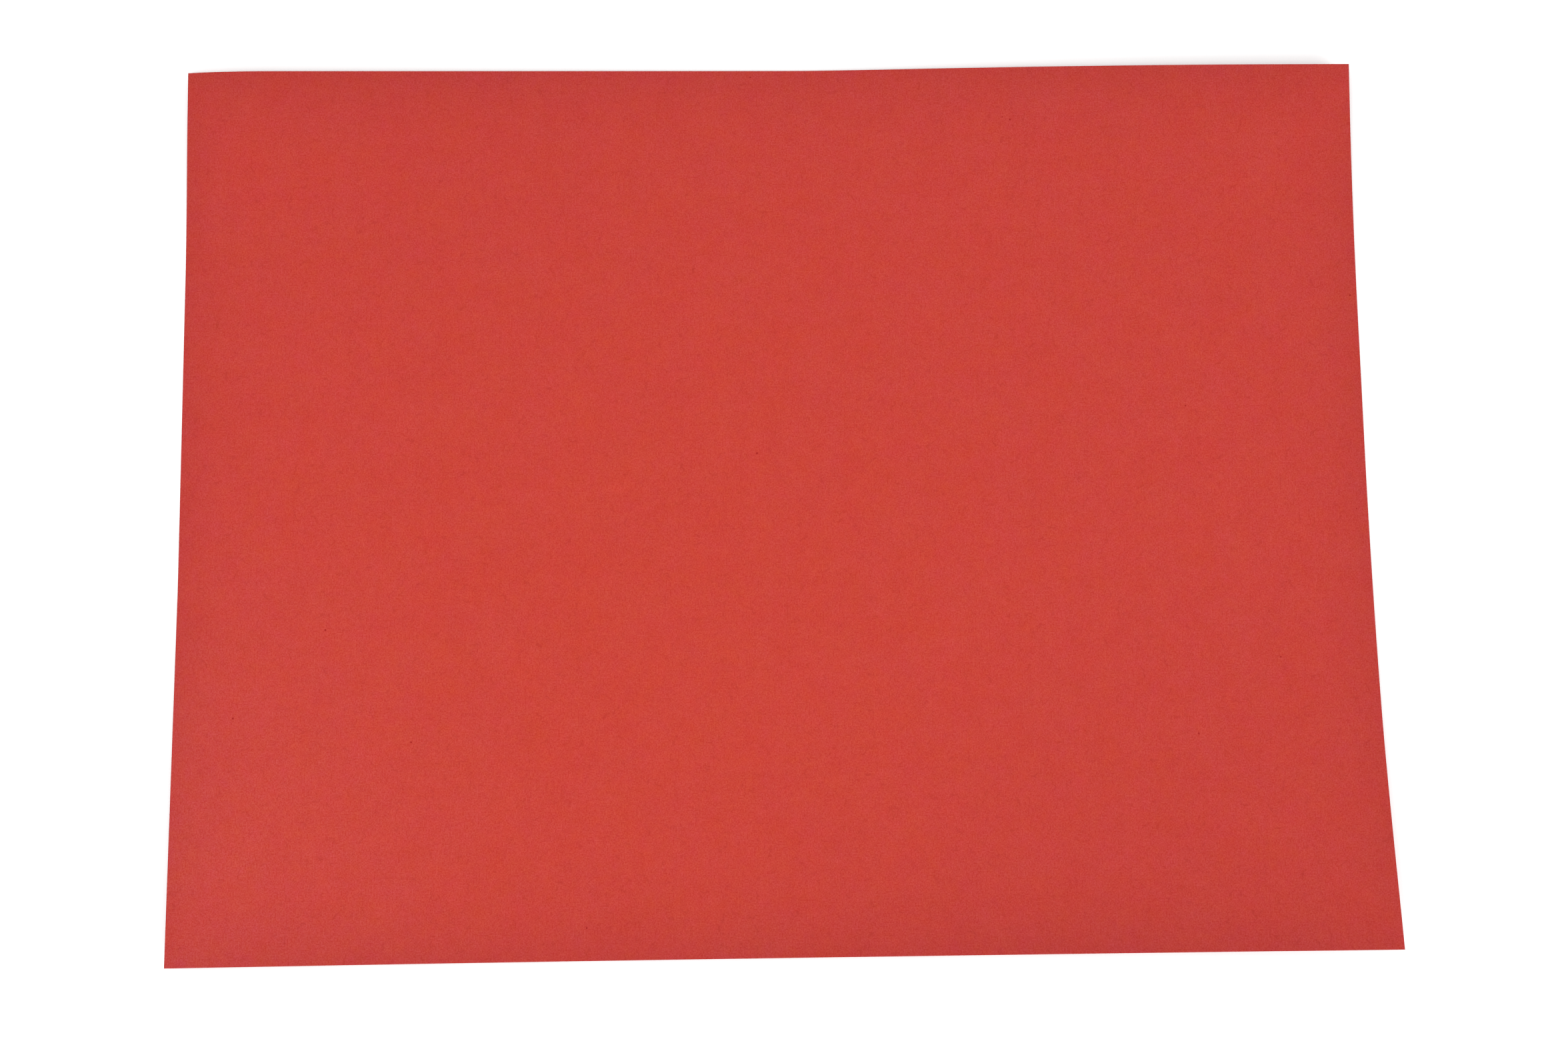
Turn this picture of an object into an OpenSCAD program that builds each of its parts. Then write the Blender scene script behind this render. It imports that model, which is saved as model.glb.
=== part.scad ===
// A sheet of construction paper that lies on a flat surface.
//
// The flat sheet is a rectangle, sheet_w by sheet_d. Seven gentle bends lift its corners and its
// right half from the surface. A bend starts along a straight line across the sheet, at a distance
// from the sheet's centre. There the paper starts to follow an arc, and turns through the bend's
// angle over the bend's length. Beyond the arc it carries on straight, at its new slope.
// A bend's direction says which way the paper runs into it, in degrees from +X.
// The origin is at the middle of the sheet's bounding box, on the surface. +Y is the far side.
// Sizes are in millimetres, angles in degrees.

/* [Sheet] */

// Length of the flat sheet along X
sheet_w = 304.8; // [200:0.1:460]
// Length of the flat sheet along Y
sheet_d = 228.6; // [150:0.1:310]
// Thickness of the paper
sheet_t = 0.2; // [0.1:0.05:0.5]

/* [Near right corner] */

// Direction of the bend that lifts the corner
near_right_dir = -65; // [-90:1:-30]
// Distance from the centre to the start of the bend
near_right_start = 51; // [20:1:90]
// Length of the bend
near_right_len = 100; // [20:1:120]
// Angle through which the bend turns the paper up
near_right_turn = 9.1; // [0.1:0.1:15]

/* [Near left corner] */

// Direction of the bend that lifts the corner
near_left_dir = -110; // [-150:1:-90]
// Distance from the centre to the start of the bend
near_left_start = 66; // [20:1:90]
// Length of the bend
near_left_len = 10; // [5:1:80]
// Angle through which the bend turns the paper up
near_left_turn = 2.1; // [0.1:0.1:8]

/* [Far right corner] */

// Direction of the bend that lifts the corner
far_right_dir = 66; // [30:1:90]
// Distance from the centre to the start of the bend
far_right_start = 104; // [60:1:130]
// Length of the bend
far_right_len = 52; // [10:1:80]
// Angle through which the bend turns the paper up
far_right_turn = 5.6; // [0.1:0.1:12]

/* [Far left corner] */

// Direction of the bend that lifts the corner
far_left_dir = 102; // [90:1:150]
// Distance from the centre to the start of the bend
far_left_start = 90; // [50:1:110]
// Length of the bend
far_left_len = 28; // [10:1:60]
// Angle through which the bend turns the paper up
far_left_turn = 5; // [0.1:0.1:10]
// Direction of the bend that lowers the tip of the corner again
far_left_tip_dir = 154; // [120:1:170]
// Distance from the centre to the start of the tip's bend
far_left_tip_start = 168; // [150:1:180]
// Length of the tip's bend
far_left_tip_len = 16; // [5:1:30]
// Angle through which the tip turns, where a minus sign means down
far_left_tip_turn = -7; // [-10:0.1:-0.1]

/* [Wave across the right half] */

// Direction of the bend that starts the wave
wave_up_dir = 39; // [20:1:60]
// Distance from the centre to the start of that bend
wave_up_start = 75; // [50:1:100]
// Length of that bend
wave_up_len = 10; // [5:1:40]
// Angle through which it turns the paper up
wave_up_turn = 3; // [0.1:0.1:6]
// Direction of the bend that ends the wave
wave_down_dir = 25; // [10:1:60]
// Distance from the centre to the start of that bend
wave_down_start = 80; // [60:1:110]
// Length of that bend
wave_down_len = 86; // [20:1:100]
// Angle through which it turns the paper, where a minus sign means down
wave_down_turn = -4.9; // [-6:0.1:-0.1]

/* [Mesh] */

// Side of the squares that the curved surface is divided into
cell = 12.7; // [6:0.1:30]

/* [Hidden] */

// Each bend is [direction, start, length, turn]
bends = [
    [near_right_dir, near_right_start, near_right_len, near_right_turn],
    [near_left_dir, near_left_start, near_left_len, near_left_turn],
    [far_right_dir, far_right_start, far_right_len, far_right_turn],
    [far_left_dir, far_left_start, far_left_len, far_left_turn],
    [far_left_tip_dir, far_left_tip_start, far_left_tip_len, far_left_tip_turn],
    [wave_up_dir, wave_up_start, wave_up_len, wave_up_turn],
    [wave_down_dir, wave_down_start, wave_down_len, wave_down_turn],
];

columns = round(sheet_w / cell);
rows = round(sheet_d / cell);

// How far apart the points are that a surface's slope is taken from
slope_step = 1;

function total(list, i = 0) = i == len(list) ? [0, 0, 0] : list[i] + total(list, i + 1);

// Where paper that is d beyond the start of a bend ends up, as [along the surface, up]
function bent(d, length, turn) =
    let (
        radius = length * 180 / (PI * turn),
        on_arc = min(d, length),
        after_arc = max(d - length, 0),
        angle = turn * on_arc / length
    )
    [radius * sin(angle) + after_arc * cos(turn), radius * (1 - cos(angle)) + after_arc * sin(turn)];

// How one bend moves a point of the flat sheet
function moved_by(bend, x, y) =
    let (
        dir = [cos(bend[0]), sin(bend[0])],
        d = max([x, y] * dir - bend[1], 0),
        place = bent(d, bend[2], bend[3]),
        pulled_in = place.x - d
    )
    [dir.x * pulled_in, dir.y * pulled_in, place.y];

// A point of the sheet's underside, which the surface keeps from going below zero
function underside(x, y) =
    let (p = [x, y, 0] + total([for (bend = bends) moved_by(bend, x, y)]))
    [p.x, p.y, max(p.z, 0)];

// The direction out of the sheet's upper face
function normal(x, y) =
    let (
        along_x = underside(x + slope_step, y) - underside(x - slope_step, y),
        along_y = underside(x, y + slope_step) - underside(x, y - slope_step),
        n = cross(along_x, along_y)
    )
    n / norm(n);

flat_grid = [
    for (j = [0:rows], i = [0:columns])
        [(i / columns - 0.5) * sheet_w, (j / rows - 0.5) * sheet_d]
];
lower = [for (g = flat_grid) underside(g.x, g.y)];
upper = [for (g = flat_grid) underside(g.x, g.y) + sheet_t * normal(g.x, g.y)];
points = concat(lower, upper);

xs = [for (p = points) p.x];
ys = [for (p = points) p.y];
box_middle = [(min(xs) + max(xs)) / 2, (min(ys) + max(ys)) / 2, 0];

// The number of a point: layer 0 is the underside, layer 1 the upper face
function at(layer, i, j) = layer * len(lower) + j * (columns + 1) + i;

// The sheet's border as [column, row] steps, anticlockwise from the near left corner
border = concat(
    [for (i = [0:columns - 1]) [i, 0]],
    [for (j = [0:rows - 1]) [columns, j]],
    [for (i = [columns:-1:1]) [i, rows]],
    [for (j = [rows:-1:1]) [0, j]]
);

// Two triangles from four corners, which go clockwise as seen from outside. Both faces of the
// sheet are split along the same diagonal, from a to c, so that the paper is equally thick all over.
function triangles(a, b, c, d) = [[a, b, c], [a, c, d]];

cells = [for (j = [0:rows - 1], i = [0:columns - 1]) [i, j]];
lower_faces = [
    for (c = cells)
        each triangles(at(0, c.x, c.y), at(0, c.x + 1, c.y), at(0, c.x + 1, c.y + 1), at(0, c.x, c.y + 1))
];
upper_faces = [
    for (c = cells)
        each triangles(at(1, c.x, c.y), at(1, c.x, c.y + 1), at(1, c.x + 1, c.y + 1), at(1, c.x + 1, c.y))
];
edge_faces = [
    for (k = [0:len(border) - 1])
        let (a = border[k], b = border[(k + 1) % len(border)])
        each triangles(at(1, a.x, a.y), at(1, b.x, b.y), at(0, b.x, b.y), at(0, a.x, a.y))
];

module paper_sheet() {
    color([0.79, 0.27, 0.24])
        translate(-box_middle)
        polyhedron(points, concat(lower_faces, upper_faces, edge_faces), convexity = 4);
}

paper_sheet();
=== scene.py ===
"""A sheet of red construction paper on a white table, seen from nearly straight above.

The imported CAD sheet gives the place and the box. A finer mesh with the same bends stands for it.
Lengths are in metres, and MM turns millimetres into metres. Those of the lens and of the paper's
material are in millimetres. The angles of the camera and of the bends are in degrees.
"""
import math
from typing import NamedTuple

import bpy
import numpy as np
from mathutils import Euler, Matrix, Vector, noise


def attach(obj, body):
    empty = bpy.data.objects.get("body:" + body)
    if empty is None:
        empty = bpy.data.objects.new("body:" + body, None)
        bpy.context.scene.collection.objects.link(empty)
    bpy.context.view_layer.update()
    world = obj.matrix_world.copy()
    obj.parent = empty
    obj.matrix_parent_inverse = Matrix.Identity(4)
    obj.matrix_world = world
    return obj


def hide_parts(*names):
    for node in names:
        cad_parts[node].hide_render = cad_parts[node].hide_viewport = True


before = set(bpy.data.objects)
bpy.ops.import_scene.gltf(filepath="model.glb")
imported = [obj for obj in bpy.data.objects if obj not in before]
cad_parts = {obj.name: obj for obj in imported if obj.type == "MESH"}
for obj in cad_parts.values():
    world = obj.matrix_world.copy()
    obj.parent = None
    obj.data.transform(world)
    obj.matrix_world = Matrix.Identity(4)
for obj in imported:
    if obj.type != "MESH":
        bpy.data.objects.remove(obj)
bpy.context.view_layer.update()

MM = 0.001
NODE = "paper_sheet"

# ---------------------------------------------------------------- camera

# The camera looks down on the sheet from a little in front of it and a little to its left
CAMERA_PLACE = Vector((-7.3, -51.7, 428.0)) * MM
CAMERA_TILT = 6.17  # the view's lean away from straight down, towards the far edge
CAMERA_ROLL = -1.19  # the view's lean to the left, where a minus sign means to the right
CAMERA_TURN = -0.8  # the picture's turn about the line of sight
LENS_MM, SENSOR_MM = 38.54, 36.0
CLIP_NEAR, CLIP_FAR = 10 * MM, 20.0


def make_camera():
    data = bpy.data.cameras.new("camera")
    data.lens = LENS_MM
    data.sensor_width = SENSOR_MM
    data.sensor_fit = "HORIZONTAL"
    data.clip_start, data.clip_end = CLIP_NEAR, CLIP_FAR
    camera = bpy.data.objects.new("camera", data)
    camera.location = CAMERA_PLACE
    camera.rotation_mode = "ZXY"
    turns = [math.radians(a) for a in (CAMERA_TILT, CAMERA_ROLL, CAMERA_TURN)]
    camera.rotation_euler = Euler(turns, "ZXY")
    bpy.context.scene.collection.objects.link(camera)
    bpy.context.scene.camera = camera


# ---------------------------------------------------------------- the sheet's shape

SHEET_W, SHEET_D, SHEET_T = 304.8 * MM, 228.6 * MM, 0.2 * MM
GRID_STEP = 1.6 * MM  # the fine mesh's cells
COLUMNS, ROWS = round(SHEET_W / GRID_STEP), round(SHEET_D / GRID_STEP)
SLOPE_STEP = 0.5 * MM  # how far apart the points are that the paper's slope is taken from
RIM = 0.04 * MM  # how far the cut edge is rounded
COCKLE = 0.05 * MM  # height of the paper's own faint unevenness
COCKLE_SIZE = 34 * MM  # distance over which it changes


class Bend(NamedTuple):
    """From a straight line on, the paper follows an arc. Beyond the arc it carries on straight."""

    direction: float  # which way the paper runs into the bend, from +X
    start: float  # how far the line is from the sheet's centre
    length: float  # of the arc
    turn: float  # the angle through which the arc turns the paper up


# The same bends as in the CAD sheet
BENDS = [
    Bend(direction=-65, start=51 * MM, length=100 * MM, turn=9.1),  # near right corner
    Bend(direction=-110, start=66 * MM, length=10 * MM, turn=2.1),  # near left corner
    Bend(direction=66, start=104 * MM, length=52 * MM, turn=5.6),  # far right corner
    Bend(direction=102, start=90 * MM, length=28 * MM, turn=5.0),  # far left corner
    Bend(direction=154, start=168 * MM, length=16 * MM, turn=-7.0),  # its tip, which dips
    Bend(direction=39, start=75 * MM, length=10 * MM, turn=3.0),  # the right half's wave, up
    Bend(direction=25, start=80 * MM, length=86 * MM, turn=-4.9),  # and down again
]


def underside(flat):
    """Points of the sheet's underside, from points of the flat sheet as rows of (x, y)."""
    place = np.column_stack([flat, np.zeros(len(flat))])
    for bend in BENDS:
        angle, turn = math.radians(bend.direction), math.radians(bend.turn)
        direction = np.array([math.cos(angle), math.sin(angle)])
        beyond = np.maximum(flat @ direction - bend.start, 0)
        on_arc = np.minimum(beyond, bend.length)
        after_arc = beyond - on_arc
        radius = bend.length / turn
        along = radius * np.sin(on_arc / radius) + after_arc * math.cos(turn)
        up = radius * (1 - np.cos(on_arc / radius)) + after_arc * math.sin(turn)
        place[:, :2] += np.outer(along - beyond, direction)
        place[:, 2] += up
    place[:, 2] = np.maximum(place[:, 2], 0) + COCKLE * unevenness(flat)
    return place


def unevenness(flat):
    """From 0 to about 1, slowly varying over the sheet."""
    waves = [noise.noise((x / COCKLE_SIZE, y / COCKLE_SIZE, 0)) for x, y in flat]
    return 0.5 + 0.5 * np.array(waves)


def sheet_points(flat, height):
    """Points that lie height above the underside, square to the paper."""
    along_x = underside(flat + (SLOPE_STEP, 0)) - underside(flat - (SLOPE_STEP, 0))
    along_y = underside(flat + (0, SLOPE_STEP)) - underside(flat - (0, SLOPE_STEP))
    normal = np.cross(along_x, along_y)
    normal /= np.linalg.norm(normal, axis=1, keepdims=True)
    return underside(flat) + height * normal


def grid_of(inset):
    """Points of the flat sheet, row by row. The outermost lie inset from its edges."""
    half_w, half_d = SHEET_W / 2, SHEET_D / 2
    xs = np.linspace(inset - half_w, half_w - inset, COLUMNS + 1)
    ys = np.linspace(inset - half_d, half_d - inset, ROWS + 1)
    return np.array([(x, y) for y in ys for x in xs])


def border_of_grid():
    """Numbers of the grid's outermost points, anticlockwise from the near left corner."""
    border = list(range(COLUMNS))
    border += [j * (COLUMNS + 1) + COLUMNS for j in range(ROWS)]
    border += [ROWS * (COLUMNS + 1) + i for i in range(COLUMNS, 0, -1)]
    border += [j * (COLUMNS + 1) for j in range(ROWS, 0, -1)]
    return border


def faces_of_grids(lower, upper):
    """Squares of the underside and the upper face, whose points start at those numbers."""
    faces = []
    for j in range(ROWS):
        for i in range(COLUMNS):
            a, b = j * (COLUMNS + 1) + i, (j + 1) * (COLUMNS + 1) + i
            faces.append((lower + a, lower + b, lower + b + 1, lower + a + 1))
            faces.append((upper + a, upper + a + 1, upper + b + 1, upper + b))
    return faces


def faces_between(rings):
    """Squares that join each closed ring of points to the one above it."""
    faces = []
    for k in range(len(rings[0])):
        n = (k + 1) % len(rings[0])
        for ring, above in zip(rings, rings[1:]):
            faces.append((ring[k], ring[n], above[n], above[k]))
    return faces


def make_sheet():
    """Two fine grids, joined round the border by a cut edge with rounded corners."""
    border = border_of_grid()
    face_grid, rim_line = grid_of(RIM), grid_of(0)[border]
    layers = [
        sheet_points(face_grid, 0),
        sheet_points(rim_line, RIM),
        sheet_points(rim_line, SHEET_T - RIM),
        sheet_points(face_grid, SHEET_T),
    ]
    starts = np.cumsum([0] + [len(layer) for layer in layers])
    lower, low_rim, high_rim, upper = (int(s) for s in starts[:4])
    lower_ring, upper_ring = [lower + b for b in border], [upper + b for b in border]
    rims = [range(rim, rim + len(border)) for rim in (low_rim, high_rim)]
    face_squares = faces_of_grids(lower, upper)
    edge_squares = faces_between([lower_ring, *rims, upper_ring])

    # Like the CAD sheet, the mesh has the middle of its bounding box above the origin
    points = np.vstack(layers)
    points[:, :2] -= (points[:, :2].min(axis=0) + points[:, :2].max(axis=0)) / 2

    mesh = bpy.data.meshes.new("red_paper_sheet")
    mesh.from_pydata(points.tolist(), [], face_squares + edge_squares)
    for k, polygon in enumerate(mesh.polygons):
        polygon.use_smooth = k < len(face_squares)
    sharp = set()
    for ring in (lower_ring, upper_ring):
        sharp.update(frozenset(ends) for ends in zip(ring, ring[1:] + ring[:1]))
    for edge in mesh.edges:
        edge.use_edge_sharp = frozenset(edge.vertices) in sharp
    mesh.validate()
    sheet = bpy.data.objects.new("red_paper_sheet", mesh)
    bpy.context.scene.collection.objects.link(sheet)
    return sheet


# ---------------------------------------------------------------- materials

# The Mix node's colour sockets: it has others of the same names for its other kinds of data
MIX_FACTOR, MIX_A, MIX_B, MIX_RESULT = 0, 6, 7, 2
NOISE_DETAIL = 1.0


class Tree:
    """Short names for building a material's nodes."""

    def __init__(self, name):
        self.material = bpy.data.materials.new(name)
        self.material.use_nodes = True
        self.nodes = self.material.node_tree.nodes
        self.links = self.material.node_tree.links
        self.shader = self.nodes["Principled BSDF"]

    def node(self, kind, inputs=None, **settings):
        """Adds a node. An input that is another node's output is linked, any other is a value."""
        made = self.nodes.new("ShaderNode" + kind)
        for name, value in settings.items():
            setattr(made, name, value)
        for key, value in (inputs or {}).items():
            self.put(value, made.inputs[key])
        return made

    def put(self, value, socket):
        if isinstance(value, bpy.types.NodeSocket):
            self.links.new(value, socket)
        else:
            socket.default_value = value

    def math(self, operation, *values):
        return self.node("Math", dict(enumerate(values)), operation=operation).outputs[0]

    def vector(self, operation, *values):
        return self.node("VectorMath", dict(enumerate(values)), operation=operation).outputs[0]

    def length(self, vector):
        return self.node("VectorMath", {0: vector}, operation="LENGTH").outputs["Value"]

    def split(self, vector):
        return self.node("SeparateXYZ", {0: vector}).outputs

    def ramp(self, value, low, high, to_low=0.0, to_high=1.0):
        """Goes smoothly from to_low to to_high as value goes from low to high."""
        inputs = {0: value, 1: low, 2: high, 3: to_low, 4: to_high}
        return self.node("MapRange", inputs, interpolation_type="SMOOTHSTEP").outputs[0]

    def noise(self, place, size):
        """Noise around 0.5 whose lumps are about size across, in the units of place."""
        inputs = {"Vector": place, "Scale": 1 / size, "Detail": NOISE_DETAIL}
        return self.node("TexNoise", inputs, noise_dimensions="2D")

    def signed_noise(self, place, size):
        """Noise around 0, from -0.5 to 0.5."""
        return self.math("SUBTRACT", self.noise(place, size).outputs["Fac"], 0.5)

    def signed_noise_3d(self, place, size):
        """Three noises around 0, as a vector."""
        return self.vector("SUBTRACT", self.noise(place, size).outputs["Color"], (0.5,) * 3)

    def mix(self, factor, a, b, blend="MIX"):
        inputs = {MIX_FACTOR: factor, MIX_A: a, MIX_B: b}
        return self.node("Mix", inputs, data_type="RGBA", blend_type=blend).outputs[MIX_RESULT]


# Colours of the paper, as linear red, green and blue
GRAIN_DARK = (0.396, 0.0198, 0.0117, 1)
GRAIN_LIGHT = (0.472, 0.0502, 0.0380, 1)
FIBRE_DARK = (0.344, 0.0185, 0.0120, 1)
FIBRE_PALE = (0.520, 0.0630, 0.0520, 1)
SPECK_COLOUR = (0.290, 0.0060, 0.0040, 1)


class Fibres(NamedTuple):
    """A scatter of curved fibres on the paper's surface. Lengths are in millimetres."""

    colour: tuple
    strength: float  # how much of their colour covers the grain
    relief: float  # how far they stand out, as a share of the grain's relief
    cell: float  # at most one fibre lies in each cell of about this size
    share: float  # of the cells that hold a fibre
    length: float
    width: float
    curl: float  # the most that a fibre bows, as 1 / length
    shift: float  # sets this scatter apart from the others


FIBRES = [
    # Short and dark
    Fibres(FIBRE_DARK, 0.32, -0.1, cell=3.0, share=0.5, length=1.6, width=0.28, curl=0.50, shift=40),
    # Long and dark
    Fibres(FIBRE_DARK, 0.40, -0.3, cell=6.0, share=0.4, length=3.0, width=0.28, curl=0.24, shift=90),
    # Pale
    Fibres(FIBRE_PALE, 0.20, 0.3, cell=8.0, share=0.4, length=3.0, width=0.22, curl=0.20, shift=150),
]
WIGGLE, WIGGLE_SIZE = 1.4, 1.2  # how far a fibre strays from its line, and over what distance
# A fibre fades out between these shares of its width and of its length, from its middle
WIDTH_FADE = (0.3, 0.8)
LENGTH_FADE = (0.3, 0.5)

# Dark specks, at most one in each cell of a scatter, and the share of the cells that have one
SPECK_CELL, SPECK_SHARE = 22.0, 0.10
SPECK_SMALL, SPECK_LARGE = 0.18, 0.30  # their radius
SPECK_FADE = (0.5, 1.2)  # the shares of its radius between which a speck fades out

# Tints, which multiply the colour
CLOUD_SPREAD = (0.03, 0.15, 0.37)  # red, green and blue vary by this much, each on its own
# Painted shade: the sheet darker towards its edges
PAINTED_EDGE_SHADE = (0.865, 0.840, 0.940, 1)
CUT_TINT = (0.90, 0.85, 0.85, 1)


class Patch(NamedTuple):
    """A patch where the colour is tinted, most at its middle. Lengths in millimetres."""

    x: float
    y: float
    reach: float
    tint: tuple
    flatness: float = 1.0  # how many times longer than deep


# Real marks, and also a painted sheen and patches of painted shade
MARKS_AND_PAINTED_LIGHT = [
    Patch(-82, 51, 2.2, (0.96, 0.93, 0.92, 1)),  # a small smudge
    Patch(-42, 4, 8.5, (1.05, 1.11, 1.11, 1), flatness=4.5),  # a thin pale scuff
    Patch(-158, -85, 110, (1.00, 1.14, 1.22, 1)),  # painted sheen, near left: paler where a light's reflection falls
    Patch(-30, -30, 150, (1.00, 1.00, 0.87, 1)),  # warmer in the middle
    Patch(-95, 135, 130, (0.965, 0.93, 0.94, 1)),  # painted shade, far left: darker
    Patch(90, -135, 130, (0.96, 0.94, 0.96, 1)),  # painted shade, near right: darker
]

# Layers of noise: the size of the lumps in millimetres, and how strongly each layer counts.
# CLOUDS' strengths are multiplied by CLOUD_SPREAD.
GRAIN = ((0.35, 1.80), (0.8, 0.48), (1.8, 0.21), (4.5, 0.14), (14, 0.10))
CLOUDS = ((1.8, 0.9), (4.5, 1.0), (12, 1.0))

# The painted shade at the border fades inwards over about these distances, in millimetres
SIDE_BORDER, END_BORDER = 8.0, 10.0  # at the short edges and at the long ones
SIDE_STRENGTH = 0.75  # of the painted shade, at the short edges

BUMP_DISTANCE, BUMP_STRENGTH = 0.03 * MM, 0.2
GRAIN_LOW, GRAIN_HIGH = 0.3, 0.7  # the range of the grain over which the roughness goes up
ROUGHNESS_LOW, ROUGHNESS_HIGH = 0.80, 0.90
SPECULAR = 0.25

CUT_SLOPE = 0.7  # a face whose normal's z is less than this belongs to the cut edge
UNDERSIDE_SHIFT = 900  # takes the underside's grain from elsewhere
NOISE_SHIFT = (313.7, 207.3, 0)  # the layers of noise line up at 0, so the sheet lies elsewhere


def grain_value(tree, place):
    """Noise of several sizes in one, 0.5 on the whole."""
    total = 0.5
    for size, strength in GRAIN:
        total = tree.math("MULTIPLY_ADD", tree.signed_noise(place, size), strength, total)
    return total


def cloud_tint(tree, place):
    """Soft patches where red, green and blue are a little more or less, 1 on the whole."""
    total = (1.0,) * 3
    for size, strength in CLOUDS:
        spread = [strength * amount for amount in CLOUD_SPREAD]
        total = tree.vector("MULTIPLY_ADD", tree.signed_noise_3d(place, size), spread, total)
    return total


def fibre_mask(tree, place, fibres):
    """1 on the scatter's fibres and 0 between them."""
    place = tree.vector("ADD", place, (fibres.shift, fibres.shift, 0))
    inputs = {"Vector": place, "Scale": 1 / fibres.cell}
    cells = tree.node("TexVoronoi", inputs, voronoi_dimensions="2D")
    spin, bow, chance = tree.node("SeparateColor", {0: cells.outputs["Color"]}).outputs
    from_middle = tree.vector("SUBTRACT", place, cells.outputs["Position"])
    inputs = {"Vector": from_middle, "Angle": tree.math("MULTIPLY", spin, 2 * math.pi)}
    turned = tree.node("VectorRotate", inputs, rotation_type="Z_AXIS").outputs[0]
    along, across, _ = tree.split(turned)
    curl = tree.math("MULTIPLY", tree.math("SUBTRACT", bow, 0.5), 2 * fibres.curl)
    bowed = tree.math("MULTIPLY_ADD", tree.math("MULTIPLY", along, along), curl, across)
    in_widths = tree.math("DIVIDE", tree.math("ABSOLUTE", bowed), fibres.width)
    in_lengths = tree.math("DIVIDE", tree.math("ABSOLUTE", along), fibres.length)
    line = tree.ramp(in_widths, *WIDTH_FADE, 1, 0)
    ends = tree.ramp(in_lengths, *LENGTH_FADE, 1, 0)
    there = tree.math("LESS_THAN", chance, fibres.share)
    return tree.math("MULTIPLY", tree.math("MULTIPLY", line, ends), there)


def speck_mask(tree, place):
    """1 on the specks and 0 between them. The specks differ in size."""
    inputs = {"Vector": place, "Scale": 1 / SPECK_CELL}
    cells = tree.node("TexVoronoi", inputs, voronoi_dimensions="2D")
    chance, size, _ = tree.node("SeparateColor", {0: cells.outputs["Color"]}).outputs
    from_middle = tree.vector("SUBTRACT", place, cells.outputs["Position"])
    radius = tree.ramp(size, 0, 1, SPECK_SMALL, SPECK_LARGE)
    in_radii = tree.math("DIVIDE", tree.length(from_middle), radius)
    spot = tree.ramp(in_radii, *SPECK_FADE, 1, 0)
    there = tree.math("LESS_THAN", chance, SPECK_SHARE)
    return tree.math("MULTIPLY", spot, there)


def tint_patch(tree, place, patch, colour):
    """The colour with the patch's tint on it."""
    from_middle = tree.vector("SUBTRACT", place, (patch.x, patch.y, 0))
    rounded = tree.vector("MULTIPLY", from_middle, (1, patch.flatness, 1))
    mask = tree.ramp(tree.length(rounded), 0, patch.reach, 1, 0)
    return tree.mix(mask, colour, patch.tint, "MULTIPLY")


def painted_edge_shade_mask(tree, place):
    """Where the shade is painted: 1 at the sheet's border, fading inwards."""
    x, y, _ = tree.split(place)
    to_side = tree.math("SUBTRACT", SHEET_W / MM / 2, tree.math("ABSOLUTE", x))
    to_end = tree.math("SUBTRACT", SHEET_D / MM / 2, tree.math("ABSOLUTE", y))
    at_side = tree.math("EXPONENT", tree.math("DIVIDE", to_side, -SIDE_BORDER))
    at_end = tree.math("EXPONENT", tree.math("DIVIDE", to_end, -END_BORDER))
    return tree.math("MAXIMUM", tree.math("MULTIPLY", at_side, SIDE_STRENGTH), at_end)


def make_paper():
    """Dyed, uncoated paper: matte, with grain, felted fibres, faint clouds and a few specks; with
    painted shade at its border and two corners, and a painted sheen near left.
    """
    tree = Tree("red_construction_paper")
    shader = tree.shader
    coordinates = tree.node("TexCoord").outputs["Object"]
    in_mm = tree.vector("MULTIPLY", coordinates, (1 / MM,) * 3)

    # The two faces differ: each has its own grain, fibres and specks
    facing = tree.split(tree.node("NewGeometry").outputs["Normal"])[2]
    is_under = tree.math("LESS_THAN", facing, 0)
    x, y, _ = tree.split(in_mm)
    face_x = tree.math("MULTIPLY_ADD", is_under, UNDERSIDE_SHIFT, x)
    face_place = tree.node("CombineXYZ", {"X": face_x, "Y": y}).outputs[0]
    place = tree.vector("ADD", face_place, NOISE_SHIFT)
    wiggle = tree.signed_noise_3d(place, WIGGLE_SIZE)
    fibre_place = tree.vector("MULTIPLY_ADD", wiggle, (WIGGLE,) * 3, place)

    grain = grain_value(tree, place)
    colour, height = tree.mix(grain, GRAIN_DARK, GRAIN_LIGHT), grain
    for fibres in FIBRES:
        mask = fibre_mask(tree, fibre_place, fibres)
        colour = tree.mix(tree.math("MULTIPLY", mask, fibres.strength), colour, fibres.colour)
        height = tree.math("MULTIPLY_ADD", mask, fibres.relief, height)
    colour = tree.mix(1.0, colour, cloud_tint(tree, place), "MULTIPLY")
    colour = tree.mix(speck_mask(tree, place), colour, SPECK_COLOUR)
    # Real marks, a painted sheen and painted shade
    for patch in MARKS_AND_PAINTED_LIGHT:
        colour = tint_patch(tree, face_place, patch, colour)
    # Painted shade: the sheet darker towards its edges
    colour = tree.mix(painted_edge_shade_mask(tree, in_mm), colour, PAINTED_EDGE_SHADE, "MULTIPLY")
    is_cut = tree.math("LESS_THAN", tree.math("ABSOLUTE", facing), CUT_SLOPE)
    colour = tree.mix(is_cut, colour, CUT_TINT, "MULTIPLY")
    tree.put(colour, shader.inputs["Base Color"])

    inputs = {"Strength": BUMP_STRENGTH, "Distance": BUMP_DISTANCE, "Height": height}
    tree.put(tree.node("Bump", inputs).outputs[0], shader.inputs["Normal"])
    roughness = tree.ramp(grain, GRAIN_LOW, GRAIN_HIGH, ROUGHNESS_LOW, ROUGHNESS_HIGH)
    tree.put(roughness, shader.inputs["Roughness"])
    tree.put(SPECULAR, shader.inputs["Specular IOR Level"])
    return tree.material


# ---------------------------------------------------------------- table and light

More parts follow.
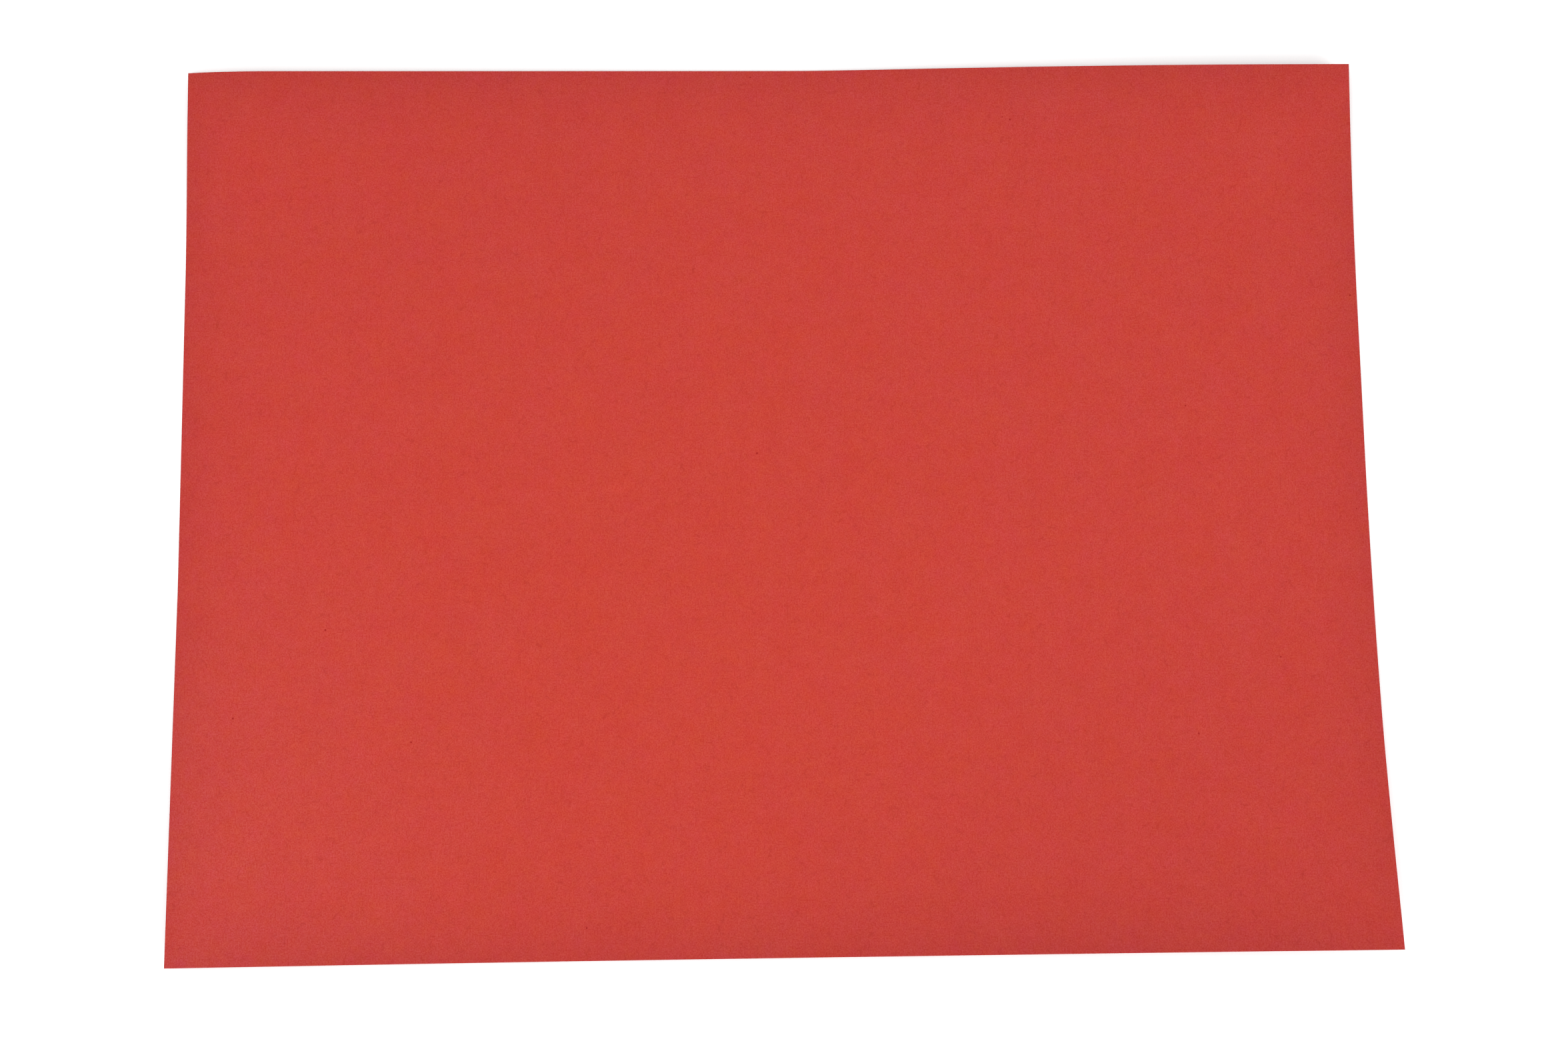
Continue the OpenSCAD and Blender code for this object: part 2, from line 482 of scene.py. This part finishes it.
TABLE_HALF = 4.0  # half the side of the square table
TABLE_GAP = 0.02 * MM  # keeps the table's surface just below the paper's
TABLE_WHITE = 0.98
TABLE_ROUGHNESS = 0.9
STUDIO_STRENGTH = 0.845  # brightness of the white surround


class Softbox(NamedTuple):
    """A square light that faces the middle of the sheet. Metres and watts."""

    place: tuple
    size: float
    power: float


SOFTBOXES = {
    "front_right_softbox": Softbox(place=(0.9, -0.9, 0.7), size=0.6, power=10.1),
    "top_softbox": Softbox(place=(-0.12, 0.06, 0.5), size=0.3, power=0.54),
    "front_left_softbox": Softbox(place=(-0.27, -0.22, 0.6), size=0.2, power=0.80),
}


def make_table_material():
    tree = Tree("white_table")
    tree.put((TABLE_WHITE, TABLE_WHITE, TABLE_WHITE, 1), tree.shader.inputs["Base Color"])
    tree.put(TABLE_ROUGHNESS, tree.shader.inputs["Roughness"])
    tree.put(0.0, tree.shader.inputs["Specular IOR Level"])
    return tree.material


def make_table():
    sides = ((-1, -1), (1, -1), (1, 1), (-1, 1))
    corners = [(x * TABLE_HALF, y * TABLE_HALF, -TABLE_GAP) for x, y in sides]
    mesh = bpy.data.meshes.new("table")
    mesh.from_pydata(corners, [], [(0, 1, 2, 3)])
    mesh.materials.append(make_table_material())
    table = bpy.data.objects.new("table", mesh)
    bpy.context.scene.collection.objects.link(table)


def make_softbox(name, softbox):
    data = bpy.data.lights.new(name, "AREA")
    data.shape = "SQUARE"
    data.size = softbox.size
    data.energy = softbox.power
    light = bpy.data.objects.new(name, data)
    light.location = softbox.place
    light.rotation_euler = (-Vector(softbox.place)).to_track_quat("-Z", "Y").to_euler()
    bpy.context.scene.collection.objects.link(light)


def make_light():
    world = bpy.data.worlds.new("studio")
    world.use_nodes = True
    background = world.node_tree.nodes["Background"]
    background.inputs["Color"].default_value = (1, 1, 1, 1)
    background.inputs["Strength"].default_value = STUDIO_STRENGTH
    bpy.context.scene.world = world
    for name, softbox in SOFTBOXES.items():
        make_softbox(name, softbox)
    bpy.context.scene.view_settings.view_transform = "Standard"


# ---------------------------------------------------------------- putting it together

make_camera()
make_light()
make_table()

sheet = make_sheet()
sheet.data.materials.append(make_paper())
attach(sheet, "root")
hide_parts(NODE)
